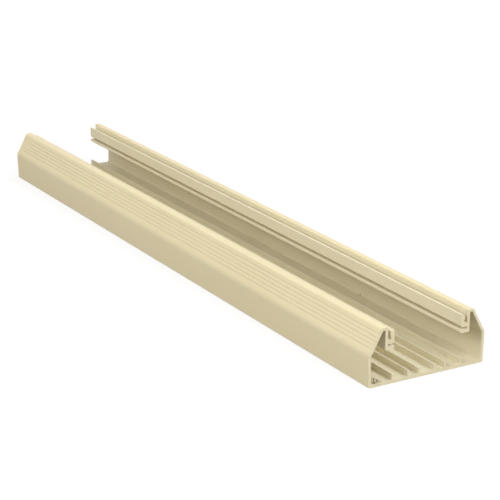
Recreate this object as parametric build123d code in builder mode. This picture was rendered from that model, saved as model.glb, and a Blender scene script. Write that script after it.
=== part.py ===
"""Base of a two-piece surface raceway: one length of extruded rigid PVC channel.

X runs across the channel, Y along its length and Z up from the wall or floor
that it is screwed to. The origin is in the middle of the underside.
"""

import os

from build123d import *

# Length of the cut piece.
length = 610.0

# Trough: a floor and two walls that lean out a little.
base_width = 100.0
wall_height = 24.3
wall_lean = 0.8
wall_thickness = 2.1
floor_thickness = 2.6
foot_radius = 1.2
floor_corner_radius = 1.4

# Shoulder: a plain bevel above each wall, then a grooved slope up to the rail.
bevel_height = 3.4
bevel_run = 2.2
bevel_radius = 7.0
slope_run = 8.5

# Rail: the flat top of the shoulder and the leg that hangs down from it.
overall_height = 43.4
rail_width = 5.5
rail_outer_radius = 3.0
rail_inner_radius = 1.0
cavity_radius = 0.6
leg_length = 17.1
leg_foot_radius = 0.7
leg_root_radius = 0.4

# Flange: the lower lip at the foot of the leg.
flange_thickness = 2.6
flange_reach = 5.4
flange_tip_radius = 0.5

# Hook: a shelf on the leg and an upright lip, with the cover's slot between. The lip's
# top slopes down into the slot, to lead the cover's clip in.
shelf_gap = 1.9
shelf_thickness = 2.9
lip_thickness = 3.3
lip_lead_in = 1.2
lip_slot_radius = 0.7
lip_trough_radius = 0.6
lip_foot_radius = 1.4
slot_width = 2.2
slot_depth = 7.1
pocket_height = 2.3
barb_depth = 0.55
barb_slope = 0.3

# Floor ribs: three pairs of upright ribs, each pair this far apart.
rib_spacings = (13.6, 32.4, 59.6)
rib_thickness = 1.4
rib_height = 4.6
rib_top_radius = 0.4

# Grip grooves along each slope: a steep upper side and a gentle lower side.
groove_start = 4.6
groove_pitch = 3.0
groove_upper_side = 0.4
groove_lower_side = 1.1
groove_depth = 0.45

# Places that follow from those sizes, on the right-hand half of the section.
foot_x = base_width / 2
wall_top = Vector(foot_x + wall_lean, wall_height)
slope_foot = wall_top + Vector(-bevel_run, bevel_height)
slope_top = Vector(slope_foot.X - slope_run, overall_height)
leg_inner_x = slope_top.X - rail_width
leg_outer_x = leg_inner_x + wall_thickness
flange_underside = overall_height - leg_length
flange_top = flange_underside + flange_thickness
flange_tip_x = leg_inner_x - flange_reach
shelf_underside = flange_top + shelf_gap
slot_floor = shelf_underside + shelf_thickness
lip_top = slot_floor + slot_depth
lip_outer_x = leg_inner_x - slot_width
lip_inner_x = lip_outer_x - lip_thickness
lip_slot_top = lip_top - lip_lead_in
pocket_x = lip_outer_x - barb_depth
pocket_top = slot_floor + pocket_height
rib_top = floor_thickness + rib_height

# The slope of the shoulder, and how many grooves it has room for.
slope_length = (slope_foot - slope_top).length
slope_direction = (slope_foot - slope_top).normalized()
slope_normal = Vector(-slope_direction.Y, slope_direction.X)
groove_room = slope_length - groove_start - groove_lower_side
groove_count = 1 + int(groove_room / groove_pitch)


def corners(sketch, *places):
    """The corners of a sketch that lie nearest to these places."""
    return [sketch.vertices().sort_by_distance(place)[0] for place in places]


with BuildPart() as raceway_base:
    with BuildSketch(Plane.XZ.offset(length / 2)) as section:
        # Floor.
        Rectangle(foot_x, floor_thickness, align=(Align.MIN, Align.MIN))

        # Wall, bevel, slope, rail top and leg: one skin of even thickness.
        with BuildLine():
            skin = Polyline(
                (foot_x, 0),
                wall_top,
                slope_foot,
                slope_top,
                (leg_inner_x, overall_height),
                (leg_inner_x, flange_underside),
            )
            offset(
                skin,
                amount=wall_thickness,
                side=Side.LEFT,
                kind=Kind.INTERSECTION,
            )
        make_face()

        # Flange at the foot of the leg.
        with Locations((leg_inner_x, flange_underside)):
            Rectangle(flange_reach, flange_thickness, align=(Align.MAX, Align.MIN))

        # Hook: shelf and upright lip, whose barb overhangs a pocket in the slot's foot.
        with BuildLine():
            Polyline(
                (leg_inner_x, shelf_underside),
                (lip_inner_x, shelf_underside),
                (lip_inner_x, lip_top),
                (lip_outer_x, lip_slot_top),
                (lip_outer_x, pocket_top + barb_slope),
                (pocket_x, pocket_top),
                (pocket_x, slot_floor),
                (leg_inner_x, slot_floor),
                close=True,
            )
        make_face()

        # Rounded corners of the trough and shoulder.
        fillet(corners(section, (foot_x, 0)), foot_radius)
        fillet(
            corners(section, (foot_x - wall_thickness, floor_thickness)),
            floor_corner_radius,
        )
        fillet(corners(section, wall_top), bevel_radius)
        fillet(
            corners(section, wall_top - Vector(wall_thickness, 0)),
            bevel_radius - wall_thickness,
        )
        fillet(corners(section, slope_top), rail_outer_radius)
        fillet(corners(section, (leg_inner_x, overall_height)), rail_inner_radius)
        fillet(
            corners(
                section,
                slope_top - Vector(wall_thickness / 2, wall_thickness),
                (leg_outer_x, overall_height - wall_thickness),
            ),
            cavity_radius,
        )

        # Rounded corners of the leg, flange and hook.
        fillet(corners(section, (leg_outer_x, flange_underside)), leg_foot_radius)
        fillet(
            corners(section, (leg_inner_x, shelf_underside), (leg_inner_x, flange_top)),
            leg_root_radius,
        )
        fillet(
            corners(
                section,
                (flange_tip_x, flange_underside),
                (flange_tip_x, flange_top),
            ),
            flange_tip_radius,
        )
        fillet(corners(section, (lip_outer_x, lip_slot_top)), lip_slot_radius)
        fillet(corners(section, (lip_inner_x, lip_top)), lip_trough_radius)
        fillet(corners(section, (lip_inner_x, shelf_underside)), lip_foot_radius)

        # Floor ribs.
        for spacing in rib_spacings:
            with Locations((spacing / 2, floor_thickness)):
                Rectangle(rib_thickness, rib_height, align=(Align.CENTER, Align.MIN))
            fillet(
                corners(
                    section,
                    ((spacing - rib_thickness) / 2, rib_top),
                    ((spacing + rib_thickness) / 2, rib_top),
                ),
                rib_top_radius,
            )

        # Grip grooves, cut square to the slope.
        for groove in range(groove_count):
            bottom = slope_top + slope_direction * (groove_start + groove * groove_pitch)
            with BuildLine():
                Polyline(
                    bottom - slope_direction * groove_upper_side,
                    bottom - slope_normal * groove_depth,
                    bottom + slope_direction * groove_lower_side,
                    close=True,
                )
            make_face(mode=Mode.SUBTRACT)

        mirror(about=Plane.YZ)
    extrude(amount=-length)

raceway_base.part.label = "raceway_base"
os.makedirs("parts", exist_ok=True)
export_step(raceway_base.part, "parts/raceway_base.step")
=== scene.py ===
# %% [markdown]
# This lesson dresses one length of surface raceway base: an open channel of ivory
# rigid PVC that is screwed to a wall and takes cords under a clip-on cover. The
# shape comes ready as a solid model, so the work here is its finish, the marks of
# the saw and the die, a studio to see it in and a camera that matches the photo.

# %% Load the channel
import math

import bpy
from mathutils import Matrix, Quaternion, Vector


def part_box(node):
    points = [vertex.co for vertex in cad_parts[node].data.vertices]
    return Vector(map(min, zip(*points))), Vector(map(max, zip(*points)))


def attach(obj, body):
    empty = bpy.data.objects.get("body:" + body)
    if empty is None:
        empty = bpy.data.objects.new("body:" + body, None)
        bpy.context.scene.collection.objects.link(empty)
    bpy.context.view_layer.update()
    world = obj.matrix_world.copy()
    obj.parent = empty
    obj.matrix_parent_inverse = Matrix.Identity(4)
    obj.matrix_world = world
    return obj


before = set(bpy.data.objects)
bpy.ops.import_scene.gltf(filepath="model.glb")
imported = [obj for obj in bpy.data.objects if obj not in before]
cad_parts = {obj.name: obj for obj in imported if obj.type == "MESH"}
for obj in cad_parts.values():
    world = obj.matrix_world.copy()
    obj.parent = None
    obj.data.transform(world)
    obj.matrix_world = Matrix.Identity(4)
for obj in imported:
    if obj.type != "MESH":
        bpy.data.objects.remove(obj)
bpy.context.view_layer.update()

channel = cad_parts["raceway_base"]
low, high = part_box("raceway_base")
print("channel, in metres, from", tuple(low), "to", tuple(high))

# %% [markdown]
# The model is in metres, but a plastics maker thinks in millimetres, so every size
# below is written in millimetres and multiplied by MM. Colours are written as the
# hex values that a colour picker shows. Those are sRGB, and a shader works in
# linear light, so one function turns them over.

# %% Millimetres and colours
MM = 0.001


def linear(hex_colour):
    """A hex colour as linear red, green, blue and alpha."""
    channels = []
    for place in (1, 3, 5):
        share = int(hex_colour[place:place + 2], 16) / 255
        if share <= 0.04045:
            channels.append(share / 12.92)
        else:
            channels.append(((share + 0.055) / 1.055) ** 2.4)
    return (*channels, 1.0)


print("mid grey in linear light:", [round(c, 3) for c in linear("#808080")])

# %% [markdown]
# A node material is a small machine: each node does one thing and hands its result
# on. Every material here is built with one helper, which adds a node, sets its
# options, and fills each input with either a plain value or a link from another
# node. Reading a material from top to bottom then follows the flow of its links.

# %% One function to add a node


def add_node(tree, kind, options=None, inputs=None):
    """A new node of this kind, with its options set and its inputs filled or linked."""
    node = tree.nodes.new(kind)
    for name, value in (options or {}).items():
        setattr(node, name, value)
    for name, value in (inputs or {}).items():
        if isinstance(value, bpy.types.NodeSocket):
            tree.links.new(value, node.inputs[name])
        else:
            node.inputs[name].default_value = value
    return node


def new_material(name):
    """An empty node material with its output node, ready to be filled."""
    material = bpy.data.materials.new(name)
    material.use_nodes = True
    tree = material.node_tree
    tree.nodes.clear()
    output = add_node(tree, "ShaderNodeOutputMaterial")
    return material, tree, output


print("helpers: add_node and new_material")

# %% [markdown]
# The channel is rigid PVC, pushed hot through a die and cooled in water. That leaves a
# satin skin, smooth and a little glossy, with very faint lines along the whole length
# that the die's lips draw, and slow changes of colour of a percent or so. Three noise
# textures make this: one in slow clouds, one stretched along the channel, one as fine
# grain. They could follow a UV map, but Object coordinates are the model's own metres,
# so the scale of each pattern is simply one over its real size. Real die lines are as
# close as a tenth of a millimetre, which is too fine to show in the render, so they are
# drawn about a millimetre apart.

# %% Clouds, die lines and grain
CLOUD_SIZE = 70 * MM
DIE_LINE_SPACING = 0.9 * MM
DIE_LINE_LENGTH = 400 * MM
DIE_LINE_DETAIL = 3.0
GRAIN_SIZE = 0.3 * MM
NOISE_DETAIL = 2.0

ivory_pvc, tree, output = new_material("extruded_ivory_pvc")
coordinates = add_node(tree, "ShaderNodeTexCoord")
place = coordinates.outputs["Object"]

clouds = add_node(
    tree,
    "ShaderNodeTexNoise",
    inputs={"Vector": place, "Scale": 1 / CLOUD_SIZE, "Detail": NOISE_DETAIL},
)
stretched = add_node(
    tree,
    "ShaderNodeMapping",
    inputs={
        "Vector": place,
        "Scale": (1 / DIE_LINE_SPACING, 1 / DIE_LINE_LENGTH, 1 / DIE_LINE_SPACING),
    },
)
die_lines = add_node(
    tree,
    "ShaderNodeTexNoise",
    inputs={
        "Vector": stretched.outputs["Vector"],
        "Scale": 1.0,
        "Detail": DIE_LINE_DETAIL,
    },
)
grain = add_node(
    tree,
    "ShaderNodeTexNoise",
    inputs={"Vector": place, "Scale": 1 / GRAIN_SIZE, "Detail": NOISE_DETAIL},
)
print("patterns so far:", [node.bl_label for node in tree.nodes])

# %% [markdown]
# Both ends were sawn, and a sawn face is matt and chalky, with shallow arcs that the
# teeth leave. A second material could be put on those faces, but the channel's mesh
# stays as it came, so a mask finds them instead: a point is on a cut face when it is
# half a length from the middle. The arcs are circles round the place where the blade's
# axle was, and a sine wave of the distance to it draws them. A fine blade's arcs are
# closer than these, which are as coarse as they need to be to show.

# %% Sawn ends
CUT_SKIN = 0.05 * MM
SAW_ARC_SPACING = 1.2 * MM
BLADE_CENTRE = Vector((-95, 0, -70)) * MM

parts = add_node(tree, "ShaderNodeSeparateXYZ", inputs={"Vector": place})
from_middle = add_node(
    tree, "ShaderNodeMath", {"operation": "ABSOLUTE"}, {0: parts.outputs["Y"]}
)
cut_face = add_node(
    tree,
    "ShaderNodeMath",
    {"operation": "GREATER_THAN"},
    {0: from_middle.outputs["Value"], 1: high.y - CUT_SKIN},
)
to_blade = add_node(
    tree,
    "ShaderNodeVectorMath",
    {"operation": "DISTANCE"},
    {0: place, 1: BLADE_CENTRE + Vector((0, low.y, 0))},
)
arc_angle = add_node(
    tree,
    "ShaderNodeMath",
    {"operation": "MULTIPLY"},
    {0: to_blade.outputs["Value"], 1: 2 * math.pi / SAW_ARC_SPACING},
)
saw_arcs = add_node(
    tree, "ShaderNodeMath", {"operation": "SINE"}, {0: arc_angle.outputs["Value"]}
)
print("cut faces lie", round(high.y / MM), "mm from the middle")

# %% [markdown]
# The inside of the channel is painted paler and less yellow than the outside. That is
# painted light: it stands in for the light that the enclosed inside lacks, and it takes
# out the yellow that light bounced between its walls gives it. So the shader has to know
# which points are outside. The section is simple enough to say it in numbers: the foot,
# the top of the wall, the foot and top of the slope, and the inner edge of the rail, in
# millimetres across and up. For each side, a dot product gives how far a point is out
# along that side's normal, and the largest of them is what counts: the point is in the
# outer skin when that is less than half a wall's thickness behind the side. The left
# half is the mirror of the right, so the absolute value of X serves both.

# %% Outer skin
OUTSIDE = ((50.0, 0.0), (50.8, 24.3), (48.6, 27.7), (40.1, 43.4), (34.6, 43.4))
SKIN_DEPTH = 1.0 * MM
FAR_INSIDE = -1.0

across = add_node(
    tree, "ShaderNodeMath", {"operation": "ABSOLUTE"}, {0: parts.outputs["X"]}
)
half_section = add_node(
    tree,
    "ShaderNodeCombineXYZ",
    inputs={"X": across.outputs["Value"], "Z": parts.outputs["Z"]},
)
height_over_side = FAR_INSIDE
for start, end in zip(OUTSIDE, OUTSIDE[1:]):
    outward = Vector((end[1] - start[1], 0, start[0] - end[0])).normalized()
    along = add_node(
        tree,
        "ShaderNodeVectorMath",
        {"operation": "DOT_PRODUCT"},
        {0: half_section.outputs["Vector"], 1: outward},
    )
    over_side = add_node(
        tree,
        "ShaderNodeMath",
        {"operation": "SUBTRACT"},
        {
            0: along.outputs["Value"],
            1: outward.dot(Vector((start[0], 0, start[1]))) * MM,
        },
    )
    highest = add_node(
        tree,
        "ShaderNodeMath",
        {"operation": "MAXIMUM"},
        {0: height_over_side, 1: over_side.outputs["Value"]},
    )
    height_over_side = highest.outputs["Value"]
# Painted light: this mask sets the paler painted inside apart from the outside.
outer_skin = add_node(
    tree,
    "ShaderNodeMath",
    {"operation": "GREATER_THAN"},
    {0: height_over_side, 1: -SKIN_DEPTH},
)
print("sides that daylight reaches:", len(OUTSIDE) - 1, "on each half")

# %% [markdown]
# Now the colour. Ivory is a white with some yellow in it. One flat colour would look
# like paint, so the clouds move it a little between two tones. The inside is painted a
# shade paler and less yellow than the outside, as painted light for the enclosed inside.
# The die lines shade both by a few percent: more would look like brushed metal.

# %% Ivory tones
INSIDE_IVORY_PAINTED_PALER = ("#DDD4B3", "#E2D9BC")
OUTSIDE_IVORY = ("#DED0A7", "#E3D6B1")
DIE_LINE_SHADE = 0.06

# Painted light: the paler, less yellow inside tone stands in for light on the enclosed
# inside.
inside_painted_paler_tone = add_node(
    tree,
    "ShaderNodeMix",
    {"data_type": "RGBA"},
    {
        "Factor": clouds.outputs["Fac"],
        "A": linear(INSIDE_IVORY_PAINTED_PALER[0]),
        "B": linear(INSIDE_IVORY_PAINTED_PALER[1]),
    },
)
outside_tone = add_node(
    tree,
    "ShaderNodeMix",
    {"data_type": "RGBA"},
    {
        "Factor": clouds.outputs["Fac"],
        "A": linear(OUTSIDE_IVORY[0]),
        "B": linear(OUTSIDE_IVORY[1]),
    },
)
tone_with_painted_inside = add_node(
    tree,
    "ShaderNodeMix",
    {"data_type": "RGBA"},
    {
        "Factor": outer_skin.outputs["Value"],
        "A": inside_painted_paler_tone.outputs["Result"],
        "B": outside_tone.outputs["Result"],
    },
)
lined = add_node(
    tree,
    "ShaderNodeMix",
    {"data_type": "RGBA", "blend_type": "OVERLAY"},
    {
        "Factor": DIE_LINE_SHADE,
        "A": tone_with_painted_inside.outputs["Result"],
        "B": die_lines.outputs["Color"],
    },
)
print("inside in linear light:", [round(c, 3) for c in linear(INSIDE_IVORY_PAINTED_PALER[0])])
print("outside in linear light:", [round(c, 3) for c in linear(OUTSIDE_IVORY[0])])

# %% [markdown]
# The two long corners of the floor are painted darker. That is painted shade, and it
# keeps the rounding of the corner from catching the light as a bright line. A darker
# material on those faces would end in a hard edge, so the painted shade is a mask that
# fades: the distance to the corner, measured across the section, which makes it the same
# over the whole length.

# %% Painted shade in the corners
CORNER = Vector((48.0, 0, 2.6)) * MM
CORNER_SHADE_WIDTH = 1.45 * MM
CORNER_SHADE_CORE = 0.4
CORNER_SHADE_STRENGTH = 0.17
DIRT_AND_SHADE_BROWN = "#6E5F3C"

# Painted shade: the floor's two long corners are darkened towards the brown, fading with
# the distance across the section.
to_corner = add_node(
    tree,
    "ShaderNodeVectorMath",
    {"operation": "DISTANCE"},
    {0: half_section.outputs["Vector"], 1: CORNER},
)
corner_painted_shade = add_node(
    tree,
    "ShaderNodeMapRange",
    inputs={
        "Value": to_corner.outputs["Value"],
        "From Min": CORNER_SHADE_WIDTH * CORNER_SHADE_CORE,
        "From Max": CORNER_SHADE_WIDTH,
        "To Min": CORNER_SHADE_STRENGTH,
        "To Max": 0.0,
    },
)
corner_shaded_tone = add_node(
    tree,
    "ShaderNodeMix",
    {"data_type": "RGBA"},
    {
        "Factor": corner_painted_shade.outputs["Result"],
        "A": lined.outputs["Result"],
        "B": linear(DIRT_AND_SHADE_BROWN),
    },
)
print("corner dust:", round(CORNER_SHADE_WIDTH / MM, 2), "mm from the corner")

# %% [markdown]
# A fresh cut is paler than the skin, because the saw roughs it up. The cut mask chooses
# between the two, and it comes after the painted shade in the corners, so that the sawn
# faces don't carry that shade.

# %% The paler cut
CUT_IVORY = "#EADEBA"

cut_tone = add_node(
    tree,
    "ShaderNodeMix",
    {"data_type": "RGBA"},
    {
        "Factor": cut_face.outputs["Value"],
        "A": corner_shaded_tone.outputs["Result"],
        "B": linear(CUT_IVORY),
    },
)
print("cut in linear light:", [round(c, 3) for c in linear(CUT_IVORY)])

# %% [markdown]
# A length of channel that has lain in a workshop has specks of dirt on it. They could
# be tiny pieces, but dirt this thin has no height that shows, so each is a spot of
# colour, written as its place and its radius in millimetres. Three lie on the floor,
# one is at the foot of the right wall, and two are on the outside of the left wall. A
# spot is dark at its middle and fades towards its edge, and where two overlap the
# darker one wins.

# %% Specks of dirt
SPECKS = (
    (24.2, -237.4, 2.6, 0.8),
    (47.0, -274.0, 2.7, 0.4),
    (44.1, -285.9, 2.6, 0.5),
    (47.6, -149.8, 3.2, 1.5),
    (-49.9, -271.0, 25.6, 0.6),
    (-50.6, -225.9, 24.1, 0.6),
)
SPECK_CORE = 0.4
SPECK_STRENGTH = 0.55

speckled = 0.0
for x, y, z, radius in SPECKS:
    away = add_node(
        tree,
        "ShaderNodeVectorMath",
        {"operation": "DISTANCE"},
        {0: place, 1: Vector((x, y, z)) * MM},
    )
    speck = add_node(
        tree,
        "ShaderNodeMapRange",
        inputs={
            "Value": away.outputs["Value"],
            "From Min": radius * SPECK_CORE * MM,
            "From Max": radius * MM,
            "To Min": 1.0,
            "To Max": 0.0,
        },
    )
    darkest = add_node(
        tree,
        "ShaderNodeMath",
        {"operation": "MAXIMUM"},
        {0: speckled, 1: speck.outputs["Result"]},
    )
    speckled = darkest.outputs["Value"]
speck_strength = add_node(
    tree, "ShaderNodeMath", {"operation": "MULTIPLY"}, {0: speckled, 1: SPECK_STRENGTH}
)
speckled_tone = add_node(
    tree,
    "ShaderNodeMix",
    {"data_type": "RGBA"},
    {
        "Factor": speck_strength.outputs["Value"],
        "A": cut_tone.outputs["Result"],
        "B": linear(DIRT_AND_SHADE_BROWN),
    },
)
print("specks:", len(SPECKS))

# %% [markdown]
# The saw's dust is rubbed into the floor by the near left end, under the crumbs that the
# next piece adds. It is a round patch that fades out, broken up by a noise of its own,
# because dust sticks in some places and not in others.

# %% Saw dust
DUST_PLACE = Vector((-42.4, -300.8, 2.6)) * MM
DUST_RADIUS = 6.0 * MM
DUST_CORE = 0.45
DUST_GRAIN = 1.1 * MM
DUST_BREAKS = (0.42, 0.62)
DUST_FAINTEST = 0.08
DUST_DENSEST = 0.5
DUST_TAN = "#9C8C61"

to_dust = add_node(
    tree, "ShaderNodeVectorMath", {"operation": "DISTANCE"}, {0: place, 1: DUST_PLACE}
)
near_dust = add_node(
    tree,
    "ShaderNodeMapRange",
    inputs={
        "Value": to_dust.outputs["Value"],
        "From Min": DUST_RADIUS * DUST_CORE,
        "From Max": DUST_RADIUS,
        "To Min": 1.0,
        "To Max": 0.0,
    },
)
dust_noise = add_node(
    tree,
    "ShaderNodeTexNoise",
    inputs={"Vector": place, "Scale": 1 / DUST_GRAIN, "Detail": NOISE_DETAIL},
)
dust_patches = add_node(
    tree,
    "ShaderNodeMapRange",
    inputs={
        "Value": dust_noise.outputs["Fac"],
        "From Min": DUST_BREAKS[0],
        "From Max": DUST_BREAKS[1],
        "To Min": DUST_FAINTEST,
        "To Max": DUST_DENSEST,
    },
)
dusty = add_node(
    tree,
    "ShaderNodeMath",
    {"operation": "MULTIPLY"},
    {0: near_dust.outputs["Result"], 1: dust_patches.outputs["Result"]},
)
finished_tone = add_node(
    tree,
    "ShaderNodeMix",
    {"data_type": "RGBA"},
    {
        "Factor": dusty.outputs["Value"],
        "A": speckled_tone.outputs["Result"],
        "B": linear(DUST_TAN),
    },
)
print("dust patch:", round(2 * DUST_RADIUS / MM), "mm across")

# %% [markdown]
# Extruded rigid PVC is satin: its roughness lies near 0.6. One value for all of it
# would give a highlight with a hard edge, so the die lines move it up and down. A noise
# hardly ever leaves the middle of its range, so that part is what is spread out. The
# sawn faces are rougher and show hardly any gloss.

# %% Roughness
NOISE_SPREAD = (0.3, 0.7)
SKIN_ROUGHNESS = (0.54, 0.66)
CUT_ROUGHNESS = 0.75

roughness = add_node(
    tree,
    "ShaderNodeMapRange",
    inputs={
        "Value": die_lines.outputs["Fac"],
        "From Min": NOISE_SPREAD[0],
        "From Max": NOISE_SPREAD[1],
        "To Min": SKIN_ROUGHNESS[0],
        "To Max": SKIN_ROUGHNESS[1],
    },
)
cut_roughness = add_node(
    tree,
    "ShaderNodeMix",
    {"data_type": "FLOAT"},
    {
        "Factor": cut_face.outputs["Value"],
        "A": roughness.outputs["Result"],
        "B": CUT_ROUGHNESS,
    },
)
print("roughness:", SKIN_ROUGHNESS, "and", CUT_ROUGHNESS, "where it was sawn")

# %% [markdown]
# Relief is what the light catches at a grazing angle. The die lines, the grain and the
# saw's arcs are each a few hundredths of a millimetre deep at most, too fine to model,
# so bump nodes tilt the normal instead. They are chained: each takes the normal of the
# one before it, and the saw's arcs only count where the cut mask is one.

# %% Relief
DIE_LINE_DEPTH = 0.02 * MM
GRAIN_DEPTH = 0.008 * MM
SAW_ARC_DEPTH = 0.02 * MM
RELIEF_STRENGTH = 0.5

skin_bump = add_node(
    tree,
    "ShaderNodeBump",
    inputs={
        "Height": die_lines.outputs["Fac"],
        "Distance": DIE_LINE_DEPTH,
        "Strength": RELIEF_STRENGTH,
    },
)
grain_bump = add_node(
    tree,
    "ShaderNodeBump",
    inputs={
        "Height": grain.outputs["Fac"],
        "Distance": GRAIN_DEPTH,
        "Strength": RELIEF_STRENGTH,
        "Normal": skin_bump.outputs["Normal"],
    },
)
cut_relief = add_node(
    tree,
    "ShaderNodeMath",
    {"operation": "MULTIPLY"},
    {0: saw_arcs.outputs["Value"], 1: cut_face.outputs["Value"]},
)
cut_bump = add_node(
    tree,
    "ShaderNodeBump",
    inputs={
        "Height": cut_relief.outputs["Value"],
        "Distance": SAW_ARC_DEPTH,
        "Strength": RELIEF_STRENGTH,
        "Normal": grain_bump.outputs["Normal"],
    },
)
print("deepest relief:", round(SAW_ARC_DEPTH / MM, 3), "mm")

# %% [markdown]
# One Principled shader takes all of it. Walls this thick let no light through that
# would show, so it needs no translucency, and its IOR is that of PVC. The material goes
# into every slot of the channel, whose mesh isn't touched.

# %% Extruded ivory PVC
PVC_IOR = 1.53

plastic = add_node(
    tree,
    "ShaderNodeBsdfPrincipled",
    inputs={
        "Base Color": finished_tone.outputs["Result"],
        "Roughness": cut_roughness.outputs["Result"],
        "IOR": PVC_IOR,
        "Normal": cut_bump.outputs["Normal"],
    },
)
tree.links.new(plastic.outputs["BSDF"], output.inputs["Surface"])

for slot in channel.material_slots:
    slot.material = ivory_pvc
print("the channel wears", ivory_pvc.name)

# %% [markdown]
# The saw left crumbs of plastic in the corner by the near left end, some of them
# scorched. A crumb is a torn grain about a millimetre wide. One is shaped from a ball
# in edit mode, by moving its points at random with a fixed seed and pressing it a
# little flat. A particle system could strew hundreds of them, but here there are few
# enough to lay each one where the photo shows it.

# %% One crumb
CRUMB_WIDTH = 1.0 * MM
CRUMB_ROUGHENING = 0.16
CRUMB_NARROWNESS = 0.72
CRUMB_FLATNESS = 0.85
CRUMB_SEED = 4

bpy.ops.object.select_all(action="DESELECT")
bpy.ops.mesh.primitive_ico_sphere_add(subdivisions=2, radius=CRUMB_WIDTH / 2)
first_crumb = bpy.context.object
bpy.ops.object.mode_set(mode="EDIT")
bpy.ops.mesh.select_all(action="SELECT")
bpy.ops.transform.vertex_random(
    offset=CRUMB_ROUGHENING * CRUMB_WIDTH, seed=CRUMB_SEED
)
bpy.ops.transform.resize(value=(1.0, CRUMB_NARROWNESS, CRUMB_FLATNESS))
bpy.ops.mesh.normals_make_consistent(inside=False)
bpy.ops.object.mode_set(mode="OBJECT")
print("one crumb, in mm:", [round(side / MM, 2) for side in first_crumb.dimensions])

# %% [markdown]
# The other crumbs are copies, each with its own mesh, sized one by one and turned by
# waves of their number, so that no two lie alike. A crumb is written as its place
# across and along in millimetres, and its size. It lies on the channel's floor and
# sinks into it by a hair, so that no gap shows under it. Then all are joined into one
# piece, because they share one finish.

# %% Saw crumbs
CHANNEL_FLOOR = 2.6 * MM
CRUMB_SINK = 0.06 * MM
CRUMB_ROLL = 0.3
CRUMB_PITCH = 0.2
CRUMB_TURN = 2.4
CRUMBS = (
    (-40.1, -300.4, 1.1),
    (-44.6, -304.2, 1.4),
    (-45.5, -302.9, 0.9),
    (-42.9, -300.9, 1.0),
    (-40.9, -297.9, 1.05),
    (-40.7, -302.2, 0.85),
    (-39.8, -302.6, 0.7),
    (-42.3, -303.4, 0.65),
    (-43.6, -302.3, 0.5),
    (-40.4, -296.2, 0.75),
    (-39.3, -296.9, 0.6),
    (-41.8, -299.3, 0.55),
    (-38.6, -303.6, 0.5),
    (-44.3, -300.6, 0.5),
)

crumbs = []
for number, (x, y, width) in enumerate(CRUMBS):
    crumb = first_crumb.copy()
    crumb.data = first_crumb.data.copy()
    bpy.context.collection.objects.link(crumb)
    crumb.scale = (width, width, width)
    crumb.rotation_euler = (
        CRUMB_ROLL * math.sin(number),
        CRUMB_PITCH * math.cos(number),
        CRUMB_TURN * number,
    )
    half_height = 0.5 * CRUMB_FLATNESS * CRUMB_WIDTH * width
    crumb.location = (x * MM, y * MM, CHANNEL_FLOOR + half_height - CRUMB_SINK)
    crumbs.append(crumb)

bpy.ops.object.select_all(action="DESELECT")
first_crumb.select_set(True)
bpy.ops.object.delete()
for crumb in crumbs:
    crumb.select_set(True)
saw_crumbs = crumbs[0]
bpy.context.view_layer.objects.active = saw_crumbs
bpy.ops.object.join()
bpy.ops.object.transform_apply(location=True, rotation=True, scale=True)
saw_crumbs.name = "saw_crumbs"
saw_crumbs.data.name = "saw_crumbs"
print("crumbs:", len(CRUMBS), "with", len(saw_crumbs.data.polygons), "faces")

# %% [markdown]
# The crumbs are the same rigid PVC, torn instead of extruded, so they are rough and have
# no gloss. Friction has browned some of them, and all are coloured darker than the
# plastic is, as painted shade for the crevices between them. Each could have a material
# of its own, but one noise that is coarser than a crumb gives each a tone of its own
# too, from a darkened ivory to a scorched brown that painted shade deepens.

# %% Torn and scorched PVC, with painted shade
TONE_SIZE = 1.6 * MM
TONE_DETAIL = 1.0
SCORCH_AND_SHADE_BREAKS = (0.3, 0.45)
DARKENED_TORN_IVORY = "#A39469"
SCORCHED_AND_SHADE_BROWN = "#382D16"
TEAR_SIZE = 0.25 * MM
TEAR_DEPTH = 0.05 * MM
TEAR_STRENGTH = 0.6
TORN_ROUGHNESS = 0.8

torn_pvc, tree, output = new_material("torn_pvc_with_painted_shade")
coordinates = add_node(tree, "ShaderNodeTexCoord")
crumb_noise = add_node(
    tree,
    "ShaderNodeTexNoise",
    inputs={
        "Vector": coordinates.outputs["Object"],
        "Scale": 1 / TONE_SIZE,
        "Detail": TONE_DETAIL,
    },
)
scorch_and_shade = add_node(
    tree,
    "ShaderNodeMapRange",
    inputs={
        "Value": crumb_noise.outputs["Fac"],
        "From Min": SCORCH_AND_SHADE_BREAKS[0],
        "From Max": SCORCH_AND_SHADE_BREAKS[1],
    },
)
# Painted shade: both crumb tones are darker than the plastic, for the crevices between
# the crumbs.
crumb_tone = add_node(
    tree,
    "ShaderNodeMix",
    {"data_type": "RGBA"},
    {
        "Factor": scorch_and_shade.outputs["Result"],
        "A": linear(DARKENED_TORN_IVORY),
        "B": linear(SCORCHED_AND_SHADE_BROWN),
    },
)
torn = add_node(
    tree,
    "ShaderNodeTexNoise",
    inputs={
        "Vector": coordinates.outputs["Object"],
        "Scale": 1 / TEAR_SIZE,
        "Detail": NOISE_DETAIL,
    },
)
torn_bump = add_node(
    tree,
    "ShaderNodeBump",
    inputs={
        "Height": torn.outputs["Fac"],
        "Distance": TEAR_DEPTH,
        "Strength": TEAR_STRENGTH,
    },
)
crumb_plastic = add_node(
    tree,
    "ShaderNodeBsdfPrincipled",
    inputs={
        "Base Color": crumb_tone.outputs["Result"],
        "Roughness": TORN_ROUGHNESS,
        "IOR": PVC_IOR,
        "Normal": torn_bump.outputs["Normal"],
    },
)
tree.links.new(crumb_plastic.outputs["BSDF"], output.inputs["Surface"])
saw_crumbs.data.materials.append(torn_pvc)
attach(saw_crumbs, "root")
print("the crumbs wear", torn_pvc.name)

# %% [markdown]
# The photo has a white background, which more light would give only by bleaching the
# channel too. So the floor and the room show white where they are seen, and light the
# channel at a level of their own. Light Path tells the two apart: it knows the rays
# that the camera sends, the ones that a glossy surface mirrors and the ones that pass
# through clear plastic, and all other rays only carry light.

# %% Which rays see the backdrop


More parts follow.
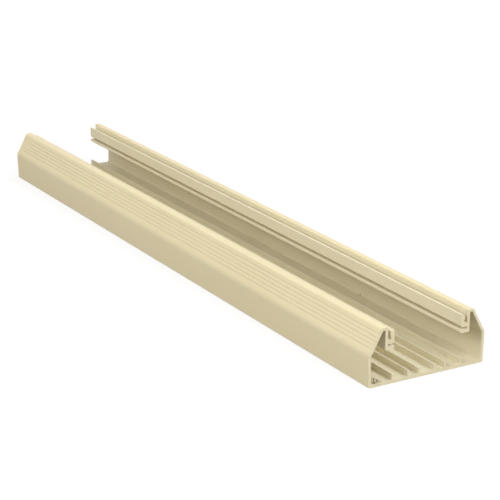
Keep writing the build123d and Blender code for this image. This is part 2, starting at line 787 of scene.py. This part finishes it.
def seen_as_backdrop(tree):
    """One for a ray of the camera, a reflection or clear plastic, and else nothing."""
    path = add_node(tree, "ShaderNodeLightPath")
    camera_or_gloss = add_node(
        tree,
        "ShaderNodeMath",
        {"operation": "MAXIMUM"},
        {0: path.outputs["Is Camera Ray"], 1: path.outputs["Is Glossy Ray"]},
    )
    any_of_them = add_node(
        tree,
        "ShaderNodeMath",
        {"operation": "MAXIMUM"},
        {0: camera_or_gloss.outputs["Value"], 1: path.outputs["Is Transmission Ray"]},
    )
    return any_of_them.outputs["Value"]


print("helper: seen_as_backdrop")

# %% [markdown]
# The floor is one large plane that the channel stands on. It is a matt grey for the
# light that bounces off it, as if the channel lay on a table some way in front of the
# white, because a white floor would light the outside of the walls too much. Where it is
# seen, a glow adds what is missing to white, and the channel's shadow stays. The lamps
# reach less far than the floor does, so the glow grows with the distance from the
# channel.

# %% Floor
FLOOR_GREY = "#898989"
FLOOR_WIDTH = 8000 * MM
GLOW_NEAR = 0.76
GLOW_FAR = 1.0
GLOW_STARTS = 400 * MM
GLOW_ENDS = 1800 * MM

bpy.ops.object.select_all(action="DESELECT")
bpy.ops.mesh.primitive_plane_add(size=FLOOR_WIDTH, location=(0, 0, 0))
floor = bpy.context.object
floor.name = "studio_floor"

studio_floor, tree, output = new_material("studio_floor")
seen = seen_as_backdrop(tree)
paper = add_node(
    tree, "ShaderNodeBsdfDiffuse", inputs={"Color": linear(FLOOR_GREY)}
)
floor_place = add_node(tree, "ShaderNodeTexCoord")
from_channel = add_node(
    tree,
    "ShaderNodeVectorMath",
    {"operation": "LENGTH"},
    {0: floor_place.outputs["Object"]},
)
paper_glow = add_node(
    tree,
    "ShaderNodeMapRange",
    inputs={
        "Value": from_channel.outputs["Value"],
        "From Min": GLOW_STARTS,
        "From Max": GLOW_ENDS,
        "To Min": GLOW_NEAR,
        "To Max": GLOW_FAR,
    },
)
glow_strength = add_node(
    tree,
    "ShaderNodeMath",
    {"operation": "MULTIPLY"},
    {0: seen, 1: paper_glow.outputs["Result"]},
)
glow = add_node(
    tree, "ShaderNodeEmission", inputs={"Strength": glow_strength.outputs["Value"]}
)
both = add_node(
    tree,
    "ShaderNodeAddShader",
    inputs={0: paper.outputs["BSDF"], 1: glow.outputs["Emission"]},
)
tree.links.new(both.outputs["Shader"], output.inputs["Surface"])
floor.data.materials.append(studio_floor)
print("the floor is", FLOOR_WIDTH, "m wide")

# %% [markdown]
# The studio is a white room with soft boxes. A picture of a real studio could light it,
# but a plain world needs no file and favours no side. It gives the even light of the
# room's walls, and shows white where it is seen or mirrored.

# %% The room
ROOM_LIGHT = 0.22

world = bpy.data.worlds.new("studio_room")
bpy.context.scene.world = world
world.use_nodes = True
tree = world.node_tree
tree.nodes.clear()
room_strength = add_node(
    tree,
    "ShaderNodeMapRange",
    inputs={"Value": seen_as_backdrop(tree), "To Min": ROOM_LIGHT, "To Max": 1.0},
)
room = add_node(
    tree,
    "ShaderNodeBackground",
    inputs={"Color": linear("#FFFFFF"), "Strength": room_strength.outputs["Result"]},
)
add_node(tree, "ShaderNodeOutputWorld", inputs={"Surface": room.outputs["Background"]})
print("the room's walls give", ROOM_LIGHT)

# %% [markdown]
# Each soft box is a square area light that looks at the channel: a large box gives soft
# shadows, and what arrives of its light falls with the square of its distance. Most of
# them stand to the left and in front, as in the photo, with weaker ones on the right and
# behind, so that no side is dark. Positions and sides are in millimetres, powers in
# watts.

# %% Studio light
AIM = Vector((0, 0, 20)) * MM


def soft_box(name, position, side, power):
    """A square area light with this side in millimetres that looks at the channel."""
    bpy.ops.object.select_all(action="DESELECT")
    bpy.ops.object.light_add(type="AREA", location=Vector(position) * MM)
    box = bpy.context.object
    box.name = name
    box.data.name = name
    box.data.shape = "SQUARE"
    box.data.size = side * MM
    box.data.energy = power
    box.rotation_euler = (AIM - box.location).to_track_quat("-Z", "Y").to_euler()


soft_box("left_box", (-1900, -350, 950), side=1000, power=13.6)
soft_box("high_left_box", (-1500, 0, 1500), side=1400, power=12.6)
soft_box("right_box", (2100, 0, 900), side=1400, power=6)
soft_box("high_right_box", (1100, 0, 1900), side=1000, power=14.5)
soft_box("front_box", (200, -2200, 800), side=1400, power=11.5)
soft_box("high_front_box", (300, -1500, 1500), side=1400, power=14)
soft_box("camera_box", (-1000, -1750, 650), side=1000, power=6.2)
soft_box("back_box", (0, 1500, 1500), side=1400, power=4.2)

# %% [markdown]
# The camera stands where the photographer's did. Its place was worked out from the
# photo: the long edges give the vanishing point, and the corners of both ends give
# the rest. It is written as a person would say it: what it looks at, from how far,
# how far round and how high, and how much it leans. A long lens, far away, keeps
# the far end from looking small.

# %% Camera
SENSOR_WIDTH = 36.0
LENS = 125.2
CAMERA_TARGET = Vector((23.0, -18.8, 6.8)) * MM
CAMERA_DISTANCE = 1483 * MM
CAMERA_AZIMUTH = math.radians(-30.71)
CAMERA_ELEVATION = math.radians(18.59)
CAMERA_LEAN = math.radians(0.29)
CAMERA_REACH = 20.0

view = Vector((
    -math.sin(CAMERA_AZIMUTH) * math.cos(CAMERA_ELEVATION),
    math.cos(CAMERA_AZIMUTH) * math.cos(CAMERA_ELEVATION),
    -math.sin(CAMERA_ELEVATION),
))
bpy.ops.object.select_all(action="DESELECT")
bpy.ops.object.camera_add(location=CAMERA_TARGET - view * CAMERA_DISTANCE)
camera = bpy.context.object
camera.name = "photo_camera"
level = view.to_track_quat("-Z", "Y")
lean = Quaternion((0, 0, 1), CAMERA_LEAN)
camera.rotation_euler = (level @ lean).to_euler()
camera.data.sensor_width = SENSOR_WIDTH
camera.data.lens = LENS
camera.data.clip_end = CAMERA_REACH
bpy.context.scene.camera = camera
bpy.context.scene.view_settings.view_transform = "Standard"
print("camera at", tuple(round(c, 3) for c in camera.location), "in metres")
